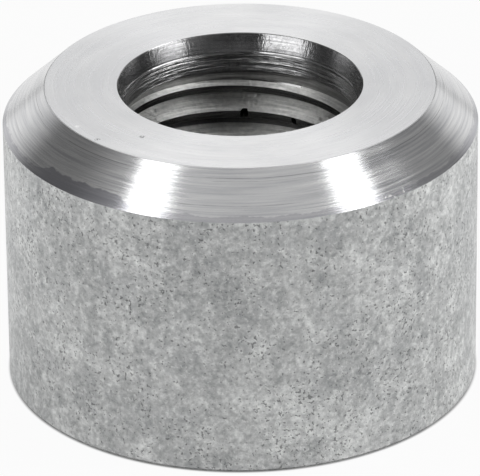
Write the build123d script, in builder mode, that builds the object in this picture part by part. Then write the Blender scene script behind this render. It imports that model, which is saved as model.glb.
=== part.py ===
from build123d import *
from build123d.topology import SkipClean
import os
from math import radians, tan

# Weld bung turned from round steel bar, with a metric fine thread tapped through
# it from the flat end. Millimetres, +Z up, origin at the centre of the flat end
# that the bung stands on. The end with the weld chamfer is on top.

# Turned blank
bar_diameter = 25.0
bung_height = 16.4
weld_chamfer_width = 2.22
weld_chamfer_height = 2.02
base_edge_break = 0.15

# Internal thread, right-hand, with its root and crest flats
thread_diameter = 14.0
thread_pitch = 1.5
thread_angle = 60.0
root_flat = thread_pitch / 8
crest_flat = thread_pitch / 4

# Height of the groove's centre line where it crosses the +X side, below the base
groove_start = -1.41

# Lead into the bore from the top face
mouth_lead_width = 0.26
mouth_lead_depth = 1.05

# Countersink that the tap enters through, in the flat end
entry_chamfer = 1.05

# The tap stops short of the top face, and its tapered lead leaves shallower grooves
runout_depth = 2.1
runout_angle = 27.0

# How far the cutting shapes overlap the surface that they cut
overcut = 0.1

# Worked-out sizes
bar_radius = bar_diameter / 2
thread_radius = thread_diameter / 2
flank_run = (thread_pitch - root_flat - crest_flat) / 2
thread_depth = flank_run / tan(radians(thread_angle / 2))
bore_radius = thread_radius - thread_depth
mouth_radius = bore_radius + mouth_lead_width
entry_radius = bore_radius + entry_chamfer
groove_inner_radius = bore_radius - overcut
groove_depth = thread_depth + overcut
groove_inner_half = root_flat / 2 + groove_depth * tan(radians(thread_angle / 2))
reach_height = bung_height - runout_depth
reach_radius = thread_radius + overcut
lead_slope = tan(radians(runout_angle))
lead_foot = reach_height - groove_depth / lead_slope
lead_tip = reach_height + 2 * overcut / lead_slope

# Turned blank with its bore
with BuildPart() as bung:
    with BuildSketch(Plane.XZ):
        with BuildLine():
            Polyline(
                (bore_radius, entry_chamfer),
                (entry_radius, 0),
                (bar_radius - base_edge_break, 0),
                (bar_radius, base_edge_break),
                (bar_radius, bung_height - weld_chamfer_height),
                (bar_radius - weld_chamfer_width, bung_height),
                (mouth_radius, bung_height),
                (bore_radius, bung_height - mouth_lead_depth),
                close=True,
            )
        make_face()
    revolve(axis=Axis.Z)

# Thread groove, swept along a helix and kept to what the tap reaches
with BuildPart() as groove:
    with BuildLine() as path:
        Helix(
            pitch=thread_pitch,
            height=bung_height - groove_start,
            radius=groove_inner_radius,
            center=(0, 0, groove_start),
        )
    with BuildSketch(Plane(origin=path.line @ 0, x_dir=(1, 0, 0), z_dir=path.line % 0)):
        with BuildLine():
            Polyline(
                (0, -groove_inner_half),
                (groove_depth, -root_flat / 2),
                (groove_depth, root_flat / 2),
                (0, groove_inner_half),
                close=True,
            )
        make_face()
    sweep(path=path.line, is_frenet=True)
    with BuildSketch(Plane.XZ):
        with BuildLine():
            Polyline(
                (0, groove_start - thread_pitch),
                (reach_radius, groove_start - thread_pitch),
                (reach_radius, lead_foot),
                (bore_radius - 2 * overcut, lead_tip),
                (0, lead_tip),
                close=True,
            )
        make_face()
    revolve(axis=Axis.Z, mode=Mode.INTERSECT)

with bung:
    add(groove.part, mode=Mode.SUBTRACT)

# The long helical faces are parted at every half turn
with SkipClean():
    with BuildPart() as back_half:
        add(bung.part)
        split(bisect_by=Plane.XZ, keep=Keep.TOP)
    with bung:
        split(bisect_by=Plane.XZ, keep=Keep.BOTTOM)
        add(back_half.part)

bung.part.label = "bung"

os.makedirs("parts", exist_ok=True)
export_step(bung.part, "parts/bung.step")
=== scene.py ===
import bmesh
import bpy
import math
from mathutils import Matrix, Vector
from types import SimpleNamespace


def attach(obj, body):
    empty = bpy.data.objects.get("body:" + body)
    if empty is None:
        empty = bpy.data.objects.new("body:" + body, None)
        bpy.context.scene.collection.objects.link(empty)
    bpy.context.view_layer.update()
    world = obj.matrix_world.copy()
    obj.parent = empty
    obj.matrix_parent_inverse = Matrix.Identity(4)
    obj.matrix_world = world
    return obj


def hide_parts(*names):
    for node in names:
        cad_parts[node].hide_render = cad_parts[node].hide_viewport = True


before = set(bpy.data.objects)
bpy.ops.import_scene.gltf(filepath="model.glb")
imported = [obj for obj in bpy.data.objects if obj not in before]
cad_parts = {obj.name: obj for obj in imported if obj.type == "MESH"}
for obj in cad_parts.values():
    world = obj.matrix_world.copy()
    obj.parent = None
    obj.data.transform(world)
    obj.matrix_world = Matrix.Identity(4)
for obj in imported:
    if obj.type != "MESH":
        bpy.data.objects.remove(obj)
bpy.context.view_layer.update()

MM = 0.001

# Blank, in millimetres: the same sizes as the solid
BAR_RADIUS = 12.5
HEIGHT = 16.4
CHAMFER_WIDTH = 2.22
CHAMFER_HEIGHT = 2.02
TOP_RADIUS = BAR_RADIUS - CHAMFER_WIDTH
CHAMFER_FOOT = HEIGHT - CHAMFER_HEIGHT
BASE_BREAK = 0.15

# Thread, right-hand, and the bore that it is tapped in
THREAD_RADIUS = 7.0
PITCH = 1.5
ROOT_FLAT = PITCH / 8
CREST_FLAT = PITCH / 4
FLANK_SLOPE = math.tan(math.radians(30))
THREAD_DEPTH = (PITCH - ROOT_FLAT - CREST_FLAT) / 2 / FLANK_SLOPE
BORE_RADIUS = THREAD_RADIUS - THREAD_DEPTH
GROOVE_START = -1.41

# Lead at the mouth, countersink in the base, and where the tap's tapered lead stops
MOUTH_RADIUS = BORE_RADIUS + 0.26
LEAD_DEPTH = 1.05
ENTRY_RADIUS = BORE_RADIUS + 1.05
TAP_REACH = HEIGHT - 2.1
TAP_LEAD_SLOPE = math.tan(math.radians(27))

# Corners that the tool left on the mouth and on the chamfer's upper edge
MOUTH_CORNER = 0.02
MOUTH_CORNER_DEPTH = 0.04
CHAMFER_CORNER = 0.03

# Columns round the bung, shared by the turned skin and the tapped wall
COLUMNS = 288
ROWS_PER_PITCH = 16

# Points closer than this are merged, in metres
WALL_MERGE = 0.000002
JOIN_MERGE = 0.000003
THINNEST_FACE = 0.000001


# Node trees in few words

class Bench:
    """A node tree with short calls: each adds its nodes, plugs them in and returns the output."""

    def __init__(self, tree):
        self.tree = tree

    def node(self, kind, **settings):
        made = self.tree.nodes.new(kind)
        for name, value in settings.items():
            setattr(made, name, value)
        return made

    def plug(self, value, socket):
        if isinstance(value, bpy.types.NodeSocket):
            self.tree.links.new(value, socket)
        else:
            socket.default_value = value

    def math(self, operation, *values):
        made = self.node("ShaderNodeMath", operation=operation)
        for value, socket in zip(values, made.inputs):
            self.plug(value, socket)
        return made.outputs[0]

    def plus(self, first, second):
        return self.math("ADD", first, second)

    def minus(self, first, second):
        return self.math("SUBTRACT", first, second)

    def absolute(self, value):
        return self.math("ABSOLUTE", value)

    def larger(self, first, second):
        return self.math("MAXIMUM", first, second)

    def smaller(self, first, second):
        return self.math("MINIMUM", first, second)

    def times(self, first, *others):
        product = first
        for value in others:
            product = self.math("MULTIPLY", product, value)
        return product

    def mixture(self, *parts):
        """The sum of (value, weight) parts."""
        total, *others = [self.times(value, weight) for value, weight in parts]
        for part in others:
            total = self.plus(total, part)
        return total

    def step(self, value, low, high):
        """0 below low and 1 above high, smooth between."""
        made = self.node("ShaderNodeMapRange", interpolation_type="SMOOTHSTEP")
        for name, number in (("Value", value), ("From Min", low), ("From Max", high)):
            self.plug(number, made.inputs[name])
        return made.outputs[0]

    def drop(self, value, low, high):
        """1 below low and 0 above high, smooth between."""
        return self.minus(1.0, self.step(value, low, high))

    def split(self, vector):
        made = self.node("ShaderNodeSeparateXYZ")
        self.plug(vector, made.inputs[0])
        return made.outputs

    def combine(self, x, y, z):
        made = self.node("ShaderNodeCombineXYZ")
        for value, socket in zip((x, y, z), made.inputs):
            self.plug(value, socket)
        return made.outputs[0]

    def scaled(self, vector, factor):
        made = self.node("ShaderNodeVectorMath", operation="SCALE")
        self.plug(vector, made.inputs[0])
        self.plug(factor, made.inputs["Scale"])
        return made.outputs[0]

    def noise(self, vector, scale, *, detail=2.0, roughness=0.5, distortion=0.0):
        made = self.node("ShaderNodeTexNoise", noise_dimensions="3D")
        self.plug(vector, made.inputs["Vector"])
        for name, value in (("Scale", scale), ("Detail", detail), ("Roughness", roughness),
                            ("Distortion", distortion)):
            self.plug(value, made.inputs[name])
        return made.outputs["Fac"]

    def ramp(self, value, stops):
        """Maps a value through (position, grey or colour) stops."""
        made = self.node("ShaderNodeValToRGB")
        points = made.color_ramp.elements
        while len(points) < len(stops):
            points.new(0.5)
        for point, (place, colour) in zip(points, stops):
            point.position = place
            point.color = (colour, colour, colour, 1) if isinstance(colour, float) else (*colour, 1)
        self.plug(value, made.inputs[0])
        return made.outputs[0]

    def blend(self, amount, first, second):
        made = self.node("ShaderNodeMix", data_type="RGBA", blend_type="MIX", clamp_factor=True)
        self.plug(amount, made.inputs[0])
        self.plug(first, made.inputs[6])
        self.plug((*second, 1) if isinstance(second, tuple) else second, made.inputs[7])
        return made.outputs[2]

    def bump(self, relief, *, depth, strength, under=None):
        """Relief in the surface, its depth in millimetres, over any relief under it."""
        made = self.node("ShaderNodeBump")
        self.plug(relief, made.inputs["Height"])
        self.plug(depth * MM, made.inputs["Distance"])
        self.plug(strength, made.inputs["Strength"])
        if under is not None:
            self.plug(under, made.inputs["Normal"])
        return made.outputs[0]


def finish_for(name):
    """A new material with its Principled shader, ready for nodes."""
    material = bpy.data.materials.new(name)
    material.use_nodes = True
    bench = Bench(material.node_tree)
    shader = material.node_tree.nodes["Principled BSDF"]
    return material, bench, shader


def set_finish(bench, shader, colour, metallic, roughness, relief):
    """Puts a finish on its shader: what is the same all over is set on the shader's own socket."""
    sockets = (("Base Color", colour), ("Metallic", metallic), ("Roughness", roughness), ("Normal", relief))
    for name, value in sockets:
        bench.plug(value, shader.inputs[name])


def places(bench):
    """Where the surface is, in millimetres: the point, its distance from the axis and its bearing."""
    point = bench.scaled(bench.node("ShaderNodeTexCoord").outputs["Object"], 1 / MM)
    x, y, z = bench.split(point)
    radius = bench.math("SQRT", bench.plus(bench.times(x, x), bench.times(y, y)))
    return SimpleNamespace(
        point=point, y=y, height=z, radius=radius,
        bearing_x=bench.math("DIVIDE", x, radius),
        bearing_y=bench.math("DIVIDE", y, radius),
    )


def turning_lines(bench, at, across, *, per_mm, breaks):
    """Lines round the axis: fine across the cut, long along it."""
    vector = bench.combine(
        bench.times(across, per_mm), bench.times(at.bearing_x, breaks), bench.times(at.bearing_y, breaks))
    return bench.noise(vector, 1.0, detail=3.0, roughness=0.6)


def upright_lines(bench, at, along, *, count, breaks, detail):
    """Lines along the axis: many round the bung, long up and down it."""
    vector = bench.combine(
        bench.times(at.bearing_x, count), bench.times(at.bearing_y, count), bench.times(along, breaks))
    return bench.noise(vector, 1.0, detail=detail, roughness=0.6)


def depth_below_top(bench, at):
    """Millimetres under the plane of the top face."""
    return bench.minus(HEIGHT, at.height)


def lay_of_cut(bench, shader, anisotropy):
    """Highlights spread across the turning lines, which run round the axis."""
    shader.inputs["Anisotropic"].default_value = anisotropy
    shader.inputs["Anisotropic Rotation"].default_value = 0.25
    tangent = bench.node("ShaderNodeTangent", direction_type="RADIAL", axis="Z")
    bench.plug(tangent.outputs[0], shader.inputs["Tangent"])


# Nicks in the top face: place across, place in depth, size and grey
NICKS = ((-7.35, -6.75, 0.20, 0.12), (-5.05, -6.45, 0.20, 0.16), (-8.40, -5.10, 0.20, 1.0))


def faced_end():
    """Top and bottom faces: pale turned steel with fine rings, and painted shade that greys them towards
    the sides.
    """
    ring_dark, ring_pale, painted_side_shade = (0.82, 0.823, 0.835), (0.98, 0.98, 0.98), (0.55, 0.555, 0.57)
    material, bench, shader = finish_for("faced_end")
    at = places(bench)
    fine = turning_lines(bench, at, at.radius, per_mm=9.0, breaks=2.0)
    broad = turning_lines(bench, at, at.radius, per_mm=1.6, breaks=2.5)
    haze = bench.noise(at.point, 0.35, detail=3.0)
    tone = bench.mixture((fine, 0.5), (broad, 0.35), (haze, 0.25))
    colour = bench.ramp(tone, ((0.42, ring_dark), (0.68, ring_pale)))
    # Painted shade: the end faces grey towards the left and right sides, set by bearing alone
    colour = bench.blend(bench.times(bench.absolute(at.bearing_x), 0.42), colour, painted_side_shade)
    for x, y, size, grey in NICKS:
        off = bench.node("ShaderNodeVectorMath", operation="DISTANCE")
        bench.plug(at.point, off.inputs[0])
        bench.plug((x, y, HEIGHT), off.inputs[1])
        nick = bench.drop(off.outputs["Value"], size * 0.4, size)
        ragged = bench.step(bench.noise(at.point, 8.0), 0.42, 0.52)
        colour = bench.blend(bench.times(nick, ragged, 0.7), colour, (grey, grey, grey))
    lay_of_cut(bench, shader, 0.85)
    set_finish(bench, shader, colour, metallic=1.0,
               roughness=bench.ramp(fine, ((0.3, 0.25), (0.7, 0.34))),
               relief=bench.bump(fine, depth=0.012, strength=0.8))
    return material


# Score lines round the chamfer: depth below the top face, width and darkness
SCORES = ((0.40, 0.022, 0.55), (0.52, 0.015, 0.40), (1.42, 0.018, 0.35))


def weld_chamfer():
    """The chamfer: bright turned steel, with deeper score lines and a ragged foot."""
    line_dark, line_pale = (0.51, 0.515, 0.53), (0.75, 0.75, 0.75)
    score_grey, foot_grey, painted_glint_white = (0.20, 0.20, 0.21), (0.30, 0.30, 0.335), (0.95, 0.95, 0.95)
    material, bench, shader = finish_for("weld_chamfer")
    at = places(bench)
    down = depth_below_top(bench, at)
    fine = turning_lines(bench, at, down, per_mm=13.0, breaks=2.2)
    broad = turning_lines(bench, at, down, per_mm=3.2, breaks=2.0)
    colour = bench.ramp(bench.mixture((fine, 0.65), (broad, 0.35)), ((0.36, line_dark), (0.64, line_pale)))

    wander = bench.times(bench.noise(at.point, 0.5), 0.03)
    for depth, width, darkness in SCORES:
        off = bench.absolute(bench.minus(bench.plus(down, wander), depth))
        scored = bench.drop(off, width * 0.4, width)
        round_axis = bench.combine(at.bearing_x, at.bearing_y, depth)
        broken = bench.step(bench.noise(round_axis, 2.2, detail=4.0, roughness=0.7), 0.44, 0.56)
        colour = bench.blend(bench.times(scored, broken, darkness), colour, score_grey)

    # The skin's dull edge reaches up past the foot, most at a stain on the left
    leftward = bench.mixture((at.bearing_x, -0.69), (at.bearing_y, -0.72))
    stain = bench.times(bench.step(leftward, 0.95, 0.985), 0.30)
    ragged = bench.plus(bench.times(bench.noise(at.point, 1.4, detail=4.0, roughness=0.6), 0.4), stain)
    foot = bench.step(bench.plus(down, ragged), CHAMFER_HEIGHT - 0.05, CHAMFER_HEIGHT + 0.01)
    colour = bench.blend(bench.times(foot, bench.plus(0.42, stain)), colour, foot_grey)

    # Painted glints: bright specks along the foot, on a short stretch at the right
    stretch = bench.times(bench.step(at.bearing_x, 0.56, 0.60), bench.drop(at.bearing_x, 0.68, 0.72))
    painted_glint = bench.step(bench.noise(at.point, 5.0, detail=1.0), 0.62, 0.68)
    colour = bench.blend(bench.times(painted_glint, stretch, foot, 0.8), colour, painted_glint_white)

    lay_of_cut(bench, shader, 0.75)
    set_finish(bench, shader, colour, metallic=1.0,
               roughness=bench.ramp(fine, ((0.3, 0.16), (0.7, 0.22))),
               relief=bench.bump(fine, depth=0.007, strength=0.8))
    return material


def bar_skin():
    """The side: dull drawn bar, clouded, mottled and pitted."""
    dark, middle, pale = (0.28, 0.29, 0.292), (0.53, 0.537, 0.535), (0.84, 0.85, 0.84)
    stain_grey, pit_grey, fleck_pale = (0.30, 0.31, 0.32), (0.12, 0.125, 0.125), (0.90, 0.91, 0.90)
    material, bench, shader = finish_for("bar_skin")
    at = places(bench)
    cloud = bench.noise(at.point, 0.22, detail=3.0, roughness=0.6, distortion=0.4)
    patch = bench.noise(at.point, 0.9, detail=6.0, roughness=0.75, distortion=0.3)
    grain = bench.noise(at.point, 3.6, detail=3.0, roughness=0.7)
    drawn = upright_lines(bench, at, at.height, count=26.0, breaks=0.25, detail=3.0)
    tone = bench.mixture((cloud, 0.25), (patch, 0.33), (grain, 0.33), (drawn, 0.09))
    colour = bench.ramp(tone, ((0.38, dark), (0.50, middle), (0.62, pale)))
    blotch = bench.noise(at.point, 0.42, detail=6.0, roughness=0.72, distortion=0.3)
    stain = bench.step(blotch, 0.53, 0.57)
    colour = bench.blend(bench.times(stain, 0.26), colour, stain_grey)
    crowd = bench.times(bench.noise(at.point, 0.45, detail=3.0, roughness=0.6), 0.34)
    pit = bench.step(bench.plus(bench.noise(at.point, 6.2, detail=1.0), crowd), 0.80, 0.87)
    colour = bench.blend(bench.times(pit, 0.70), colour, pit_grey)
    fleck = bench.step(bench.noise(at.point, 5.0, roughness=0.6, distortion=0.6), 0.60, 0.69)
    colour = bench.blend(bench.times(fleck, 0.40), colour, fleck_pale)
    relief = bench.minus(grain, bench.times(pit, 0.8))
    set_finish(bench, shader, colour, metallic=0.55,
               roughness=bench.ramp(patch, ((0.3, 0.36), (0.7, 0.48))),
               relief=bench.bump(relief, depth=0.04, strength=0.7))
    return material


def bore_lead():
    """The lead and the plain bore above the thread: bored bright, with chatter round the lead; its greys
    are set darker than the outer faces as painted shade inside the bore.
    """
    line_dark, line_pale = (0.20, 0.20, 0.205), (0.60, 0.60, 0.60)
    edge_dark, lead_grey = (0.10, 0.10, 0.10), (0.42, 0.42, 0.425)
    material, bench, shader = finish_for("bore_lead")
    at = places(bench)
    down = depth_below_top(bench, at)
    fine = turning_lines(bench, at, down, per_mm=7.0, breaks=1.3)
    chatter = upright_lines(bench, at, down, count=46.0, breaks=2.5, detail=2.0)
    plain = bench.step(down, LEAD_DEPTH - 0.06, LEAD_DEPTH + 0.06)
    lead = bench.minus(1.0, plain)
    # Painted shade: the bore's greys are far darker than those of the turned faces outside
    colour = bench.ramp(bench.mixture((fine, 0.7), (chatter, 0.3)), ((0.36, line_dark), (0.62, line_pale)))
    round_axis = bench.combine(at.bearing_x, at.bearing_y, 0.3)
    torn = bench.times(bench.noise(round_axis, 3.2, detail=5.0, roughness=0.7), 0.5)
    edge = bench.absolute(bench.minus(bench.plus(down, torn), LEAD_DEPTH + 0.30))
    colour = bench.blend(bench.times(bench.drop(edge, 0.03, 0.13), 0.65), colour, edge_dark)
    colour = bench.blend(bench.times(lead, 0.65), colour, lead_grey)
    lay_of_cut(bench, shader, 0.80)
    rings = bench.times(fine, bench.plus(0.04, plain))
    turned = bench.bump(rings, depth=0.10, strength=1.0)
    ripple = bench.times(chatter, lead)
    set_finish(bench, shader, colour, metallic=1.0,
               roughness=bench.plus(0.16, bench.times(plain, 0.04)),
               relief=bench.bump(ripple, depth=0.012, strength=0.8, under=turned))
    return material


def torn_flank():
    """The roots and the flanks that face up: torn in ridges along the helix; their pale greys are partly
    painted light, and the roots deep in the bore carry painted shade.
    """
    ridge_dark, ridge_pale, painted_root_shade = (0.60, 0.60, 0.59), (0.98, 0.98, 0.96), (0.10, 0.10, 0.10)
    material, bench, shader = finish_for("torn_flank")
    at = places(bench)
    fine = turning_lines(bench, at, at.radius, per_mm=7.0, breaks=3.0)
    tear = bench.noise(at.point, 3.5, detail=4.0, roughness=0.6)
    tone = bench.mixture((fine, 0.65), (tear, 0.35))
    # Partly painted light: these greys are far paler than the crests' greys on the same tapped steel
    colour = bench.ramp(tone, ((0.36, ridge_dark), (0.62, ridge_pale)))
    # Painted shade: the roots darken from 4.4 to 5 mm below the top face, deep in the bore
    shade_depth = bench.step(depth_below_top(bench, at), 4.4, 5.0)
    root = bench.step(at.radius, THREAD_RADIUS - 0.06, THREAD_RADIUS)
    colour = bench.blend(bench.times(root, shade_depth, 0.85), colour, painted_root_shade)
    lay_of_cut(bench, shader, 0.97)
    set_finish(bench, shader, colour, metallic=1.0,
               roughness=0.65,
               relief=bench.bump(tone, depth=0.18, strength=1.0))
    return material


def tapped_crest():
    """The rest of the tapped wall: smooth crests, the flanks that face down and the tap's lead, darkened as
    painted shade.
    """
    line_dark, line_pale = (0.16, 0.16, 0.16), (0.36, 0.36, 0.355)
    material, bench, shader = finish_for("tapped_crest")
    at = places(bench)
    fine = turning_lines(bench, at, at.height, per_mm=9.0, breaks=2.5)
    # Painted shade: crests and downward flanks get far darker greys than the flanks that face up
    colour = bench.ramp(fine, ((0.36, line_dark), (0.64, line_pale)))
    lay_of_cut(bench, shader, 0.70)
    set_finish(bench, shader, colour, metallic=1.0,
               roughness=0.18,
               relief=bench.bump(fine, depth=0.012, strength=1.0))
    return material


FINISHES = [faced_end(), weld_chamfer(), bar_skin(), bore_lead(), torn_flank(), tapped_crest()]
FACE, CHAMFER, SKIN, LEAD, FLANK, CREST = range(6)


# The turned skin: everything that the lathe cut, from the plain bore over the top to the base

def run(start, end, steps, finish):
    """Points along a straight cut, without its first one, each with the finish of the cut."""
    (r0, z0), (r1, z1) = start, end
    return [(r0 + (r1 - r0) * i / steps, z0 + (z1 - z0) * i / steps, finish) for i in range(1, steps + 1)]


def turned_section():
    """The section of the skin, from the top of the tapped wall round to the countersink in the base."""
    wall_top = (BORE_RADIUS, TAP_REACH)
    lead_foot = (BORE_RADIUS, HEIGHT - LEAD_DEPTH)
    lead_top = (MOUTH_RADIUS - MOUTH_CORNER / 2, HEIGHT - MOUTH_CORNER_DEPTH)
    mouth = (MOUTH_RADIUS + MOUTH_CORNER, HEIGHT)
    face_edge = (TOP_RADIUS - CHAMFER_CORNER, HEIGHT)
    down_chamfer = Vector((CHAMFER_WIDTH, -CHAMFER_HEIGHT)).normalized()
    chamfer_top = Vector((TOP_RADIUS, HEIGHT)) + down_chamfer * CHAMFER_CORNER
    chamfer_foot = (BAR_RADIUS, CHAMFER_FOOT)
    side_foot = (BAR_RADIUS, BASE_BREAK)
    base_edge = (BAR_RADIUS - BASE_BREAK, 0)
    entry_edge = (ENTRY_RADIUS, 0)
    section = [(*wall_top, LEAD)]
    for start, end, steps, finish in (
        (wall_top, lead_foot, 4, LEAD),
        (lead_foot, lead_top, 6, LEAD),
        (lead_top, mouth, 1, LEAD),
        (mouth, face_edge, 12, FACE),
        (face_edge, chamfer_top, 1, FACE),
        (chamfer_top, chamfer_foot, 14, CHAMFER),
        (chamfer_foot, side_foot, 20, SKIN),
        (side_foot, base_edge, 2, SKIN),
        (base_edge, entry_edge, 8, FACE),
    ):
        section += run(start, end, steps, finish)
    return section


def turn_skin(body, section):
    """Turns the section round the axis as an open shell in the body."""
    rings = []
    for radius, height, _ in section:
        ring = []
        for column in range(COLUMNS):
            angle = 2 * math.pi * column / COLUMNS
            point = (radius * math.cos(angle) * MM, radius * math.sin(angle) * MM, height * MM)
            ring.append(body.verts.new(point))
        rings.append(ring)
    for inner, outer, (_, _, finish) in zip(rings, rings[1:], section[1:]):
        for column in range(COLUMNS):
            after = (column + 1) % COLUMNS
            face = body.faces.new((inner[column], outer[column], outer[after], inner[after]))
            face.material_index = finish


# The tapped wall: a grid wound round the bore, its rows laid along the thread

def tapped_wall_tree():
    """Geometry nodes that wind a grid into the threaded wall."""
    tree = bpy.data.node_groups.new("tapped_wall", "GeometryNodeTree")
    for name in ("Columns", "Rows"):
        tree.interface.new_socket(name, in_out="INPUT", socket_type="NodeSocketInt")
    for name in ("Row spacing", "Pitch", "Thread radius", "Bore radius", "Root flat", "Flank slope",
                 "Groove start", "Tap reach", "Tap lead slope", "Entry radius"):
        tree.interface.new_socket(name, in_out="INPUT", socket_type="NodeSocketFloat")
    tree.interface.new_socket("Finish", in_out="INPUT", socket_type="NodeSocketMaterial")
    tree.interface.new_socket("Wall", in_out="OUTPUT", socket_type="NodeSocketGeometry")
    bench = Bench(tree)
    size = bench.node("NodeGroupInput").outputs

    grid = bench.node("GeometryNodeMeshGrid")
    bench.plug(1.0, grid.inputs["Size X"])
    bench.plug(1.0, grid.inputs["Size Y"])
    bench.plug(bench.plus(size["Columns"], 1.0), grid.inputs["Vertices X"])
    bench.plug(size["Rows"], grid.inputs["Vertices Y"])
    place = bench.split(bench.node("GeometryNodeInputPosition").outputs[0])
    turn = bench.plus(place[0], 0.5)
    climb = bench.plus(place[1], 0.5)

    # Height of each point: rows rise with the thread, and are trimmed to the wall's ends
    row = bench.times(climb, bench.minus(size["Rows"], 1.0))
    groove = bench.plus(size["Groove start"], bench.times(turn, size["Pitch"]))
    laid = bench.plus(bench.minus(groove, size["Pitch"]), bench.times(row, size["Row spacing"]))
    height = bench.smaller(bench.larger(laid, 0.0), size["Tap reach"])

    # Distance from the groove's centre line, wrapped to half a pitch each way
    half = bench.times(size["Pitch"], 0.5)
    off = bench.absolute(bench.math("WRAP", bench.minus(height, groove), half, bench.times(half, -1.0)))

    # Radius: the flanks of the groove, kept to what the tap's lead and the countersink leave
    past_root = bench.larger(bench.minus(off, bench.times(size["Root flat"], 0.5)), 0.0)
    cut = bench.minus(size["Thread radius"], bench.math("DIVIDE", past_root, size["Flank slope"]))
    below = bench.minus(size["Tap reach"], height)
    reach = bench.plus(size["Bore radius"], bench.times(below, size["Tap lead slope"]))
    radius = bench.larger(size["Bore radius"], bench.smaller(cut, reach))
    radius = bench.larger(radius, bench.minus(size["Entry radius"], height))

    angle = bench.times(turn, 2 * math.pi)
    across = bench.times(radius, bench.math("COSINE", angle))
    away = bench.times(radius, bench.math("SINE", angle))
    wound = bench.node("GeometryNodeSetPosition")
    bench.plug(grid.outputs["Mesh"], wound.inputs["Geometry"])
    bench.plug(bench.scaled(bench.combine(across, away, height), MM), wound.inputs["Position"])
    closed = bench.node("GeometryNodeMergeByDistance")
    bench.plug(wound.outputs[0], closed.inputs["Geometry"])
    bench.plug(WALL_MERGE, closed.inputs["Distance"])
    whole = bench.node("GeometryNodeRealizeInstances")
    bench.plug(closed.outputs[0], whole.inputs[0])
    finished = bench.node("GeometryNodeSetMaterial")
    bench.plug(whole.outputs[0], finished.inputs["Geometry"])
    bench.plug(size["Finish"], finished.inputs["Material"])
    bench.plug(finished.outputs[0], bench.node("NodeGroupOutput").inputs[0])
    return tree


def tap_wall():
    """The threaded wall of the bore as a plain mesh."""
    spacing = PITCH / ROWS_PER_PITCH
    sizes = {
        "Columns": COLUMNS,
        "Rows": math.ceil((TAP_REACH - GROOVE_START + PITCH) / spacing) + 1,
        "Row spacing": spacing,
        "Pitch": PITCH,
        "Thread radius": THREAD_RADIUS,
        "Bore radius": BORE_RADIUS,
        "Root flat": ROOT_FLAT,
        "Flank slope": FLANK_SLOPE,
        "Groove start": GROOVE_START,
        "Tap reach": TAP_REACH,
        "Tap lead slope": TAP_LEAD_SLOPE,
        "Entry radius": ENTRY_RADIUS,
        "Finish": FINISHES[CREST],
    }
    tree = tapped_wall_tree()
    holder = bpy.data.objects.new("tapped_wall", bpy.data.meshes.new("tapped_wall"))
    bpy.context.collection.objects.link(holder)
    modifier = holder.modifiers.new("tapped_wall", "NODES")
    modifier.node_group = tree
    for item in tree.interface.items_tree:
        if item.in_out == "INPUT":
            modifier[item.identifier] = sizes[item.name]
    evaluated = holder.evaluated_get(bpy.context.evaluated_depsgraph_get())
    wall = bpy.data.meshes.new_from_object(evaluated)
    bpy.data.objects.remove(holder)
    return wall


# Chips in the thread's crest: bearing from the back towards the right in degrees, depth, width, height
CHIPS = ((1.6, 4.66, 0.30, 0.36), (27.5, 4.80, 0.16, 0.24))
CHIP_REACH = 0.35


def chip_crest(body):
    """Pushes the wall back to the thread's root where the crest is chipped."""
    for bearing, depth, width, height in CHIPS:
        angle = math.radians(90 - bearing)
        for vert in body.verts:
            radius = vert.co.to_2d().length / MM
            turned = math.remainder(math.atan2(vert.co.y, vert.co.x) - angle, 2 * math.pi)
            beside = abs(turned) * BORE_RADIUS < width / 2
            level = abs(HEIGHT - vert.co.z / MM - depth) < height / 2
            if beside and level and radius < BORE_RADIUS + CHIP_REACH:
                pushed = THREAD_RADIUS / radius
                vert.co.x *= pushed
                vert.co.y *= pushed


# Faces this near the thread's radius are its root, and faces that look up more than this are its flanks
ROOT_MARGIN = 0.02
UPWARD = 0.5

# Edges sharper than this stay crisp, in degrees
SHARP_ANGLE = 20


def is_flank_or_root(face):
    """Whether a face of the tapped wall looks up or lies on the root of the thread."""
    radius = face.calc_center_median().to_2d().length / MM
    return face.normal.z > UPWARD or radius > THREAD_RADIUS - ROOT_MARGIN


def make_bung():
    """Joins the turned skin and the tapped wall into one closed body."""
    body = bmesh.new()
    body.from_mesh(tap_wall())
    for face in body.faces:
        face.material_index = CREST
    turn_skin(body, turned_section())
    bmesh.ops.remove_doubles(body, verts=body.verts, dist=JOIN_MERGE)
    bmesh.ops.dissolve_degenerate(body, edges=body.edges, dist=THINNEST_FACE)
    bmesh.ops.recalc_face_normals(body, faces=body.faces)
    # Painted light and shade by facing: faces that look up, and the roots, take the pale finish, and the
    # rest keep the dark one
    for face in body.faces:
        if face.material_index == CREST and is_flank_or_root(face):
            face.material_index = FLANK
    chip_crest(body)
    mesh = bpy.data.meshes.new("bung_turned")
    body.to_mesh(mesh)
    body.free()
    for finish in FINISHES:
        mesh.materials.append(finish)
    mesh.shade_smooth()
    mesh.set_sharp_from_angle(angle=math.radians(SHARP_ANGLE))
    made = bpy.data.objects.new("bung_turned", mesh)
    bpy.context.collection.objects.link(made)
    return made


bung = make_bung()
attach(bung, "root")
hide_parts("bung")


# Camera: worked out from the ellipses of the mouth, top face, chamfer and base

CAMERA_PLACE = (0, -0.26603, 0.139375)
CAMERA_PITCH, CAMERA_YAW, CAMERA_ROLL = 0.4607, -0.0003, -0.0094
FOCAL_LENGTH = 419.11


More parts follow.
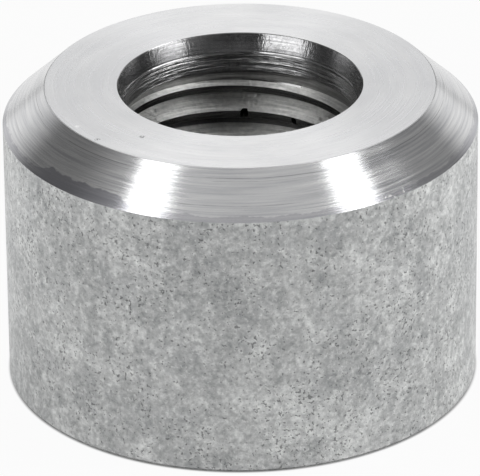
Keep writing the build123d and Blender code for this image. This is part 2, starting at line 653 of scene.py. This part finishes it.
def set_up_camera():
    level = math.cos(CAMERA_PITCH)
    ahead = Vector((math.sin(CAMERA_YAW) * level, math.cos(CAMERA_YAW) * level, -math.sin(CAMERA_PITCH)))
    right = Vector((math.cos(CAMERA_YAW), -math.sin(CAMERA_YAW), 0))
    up = right.cross(ahead)
    side = right * math.cos(CAMERA_ROLL) + up * math.sin(CAMERA_ROLL)
    top = up * math.cos(CAMERA_ROLL) - right * math.sin(CAMERA_ROLL)
    camera = bpy.data.objects.new("camera", bpy.data.cameras.new("camera"))
    camera.data.lens = FOCAL_LENGTH
    camera.data.sensor_width = 36
    camera.data.clip_start = 0.01
    camera.data.clip_end = 20
    turned = Matrix((side, top, -ahead)).transposed().to_4x4()
    camera.matrix_world = Matrix.Translation(CAMERA_PLACE) @ turned
    bpy.context.collection.objects.link(camera)
    bpy.context.scene.camera = camera


set_up_camera()


# White table and the studio round it

TABLE_HALF = 3
TABLE_WHITE = 0.95


def white_table():
    """A table that looks white, but whose own colour is a mid grey, so that it lights the bung little."""
    corners = [(x * TABLE_HALF, y * TABLE_HALF, 0) for x, y in ((-1, -1), (1, -1), (1, 1), (-1, 1))]
    mesh = bpy.data.meshes.new("table")
    mesh.from_pydata(corners, [], [(0, 1, 2, 3)])
    table = bpy.data.objects.new("table", mesh)
    bpy.context.collection.objects.link(table)
    material, bench, shader = finish_for("table_white")
    shader.inputs["Base Color"].default_value = (0.4, 0.4, 0.4, 1)
    shader.inputs["Roughness"].default_value = 0.9
    glow = bench.node("ShaderNodeEmission")
    glow.inputs["Color"].default_value = (1, 1, 1, 1)
    glow.inputs["Strength"].default_value = 1.0
    rays = bench.node("ShaderNodeLightPath").outputs
    at = places(bench)

    # In reflections the table is white behind the bung and dim in front of it
    lit_behind = bench.plus(0.10, bench.times(bench.step(at.y, -15.0, 15.0), 0.90))
    mirrored = bench.larger(rays["Is Glossy Ray"], rays["Is Transmission Ray"])
    seen = bench.larger(rays["Is Camera Ray"], bench.times(mirrored, lit_behind))
    clear = bench.step(at.radius, BAR_RADIUS - 0.1, BAR_RADIUS + 0.12)
    mix = bench.node("ShaderNodeMixShader")
    bench.plug(bench.times(seen, TABLE_WHITE, clear), mix.inputs[0])
    bench.plug(shader.outputs[0], mix.inputs[1])
    bench.plug(glow.outputs[0], mix.inputs[2])
    output = material.node_tree.nodes["Material Output"]
    bench.plug(mix.outputs[0], output.inputs["Surface"])
    mesh.materials.append(material)


def studio_world():
    """A room seen only in reflections and as fill light, behind a backdrop that the camera sees white."""
    world = bpy.data.worlds.new("studio")
    bpy.context.scene.world = world
    world.use_nodes = True
    bench = Bench(world.node_tree)
    background = world.node_tree.nodes["Background"]
    x, y, z = bench.split(bench.node("ShaderNodeTexCoord").outputs["Generated"])
    sideways = bench.absolute(x)

    # White wall behind, with a dim post on each side
    aside = bench.times(bench.step(sideways, 0.1, 0.6), 0.25)
    post = bench.minus(bench.step(sideways, 0.08, 0.25), bench.step(sideways, 0.36, 0.50))
    wall = bench.step(bench.minus(y, aside), 0.18, 0.60)
    behind = bench.times(wall, bench.minus(1.0, bench.times(post, 0.72)))

    # Pale ceiling with a dark hatch in it, almost straight above
    hatch = bench.step(bench.mixture((z, 0.995), (y, 0.1)), 0.94, 0.985)
    overhead = bench.times(
        bench.step(z, 0.55, 0.95), 0.74, bench.minus(1.0, bench.times(hatch, 0.97)))

    # Dim sides, a little lighter on the right, and hardly any light from the camera's side
    beside = bench.times(bench.step(sideways, 0.3, 0.8), 0.16)
    right = bench.times(bench.step(x, 0.2, 0.8), 0.14)
    dim = bench.plus(0.02, bench.plus(beside, right))
    room = bench.larger(bench.larger(behind, overhead), dim)

    # Fill for dull surfaces, stronger from both sides
    around = bench.plus(0.33, bench.times(bench.step(sideways, 0.45, 0.95), 1.25))
    rays = bench.node("ShaderNodeLightPath").outputs
    mirrored = bench.larger(rays["Is Glossy Ray"], rays["Is Transmission Ray"])
    fill = bench.blend(mirrored, around, room)
    bench.plug(bench.blend(rays["Is Camera Ray"], fill, (1.0, 1.0, 1.0)), background.inputs["Color"])
    background.inputs["Strength"].default_value = 1.0


# Lamps: bearing from the camera's side, positive to the right, elevation, width, height and power
LAMPS = {
    "left_strip": (-69.0, 58.0, 0.085, 0.20, 0.25),
    "right_strip": (79.5, 53.0, 0.082, 0.20, 0.25),
    "left_panel": (-43.0, 20.0, 0.44, 0.40, 1.60),
    "right_panel": (72.0, 20.0, 0.44, 0.40, 2.00),
}
LAMP_DISTANCE = 0.6
LAMP_TARGET = Vector((0, 0, 0.012))


def softbox(name, bearing, elevation, width, height, power):
    """A lamp that faces the bung."""
    turn, lift = math.radians(bearing), math.radians(elevation)
    direction = Vector((math.sin(turn) * math.cos(lift), -math.cos(turn) * math.cos(lift), math.sin(lift)))
    lamp = bpy.data.lights.new(name, "AREA")
    lamp.shape = "RECTANGLE"
    lamp.size = width
    lamp.size_y = height
    lamp.energy = power
    holder = bpy.data.objects.new(name, lamp)
    holder.location = LAMP_TARGET + direction * LAMP_DISTANCE
    holder.rotation_euler = (-direction).to_track_quat("-Z", "Y").to_euler()
    bpy.context.collection.objects.link(holder)


white_table()
studio_world()
for lamp_name, lamp_settings in LAMPS.items():
    softbox(lamp_name, *lamp_settings)

bpy.context.scene.view_settings.view_transform = "Standard"
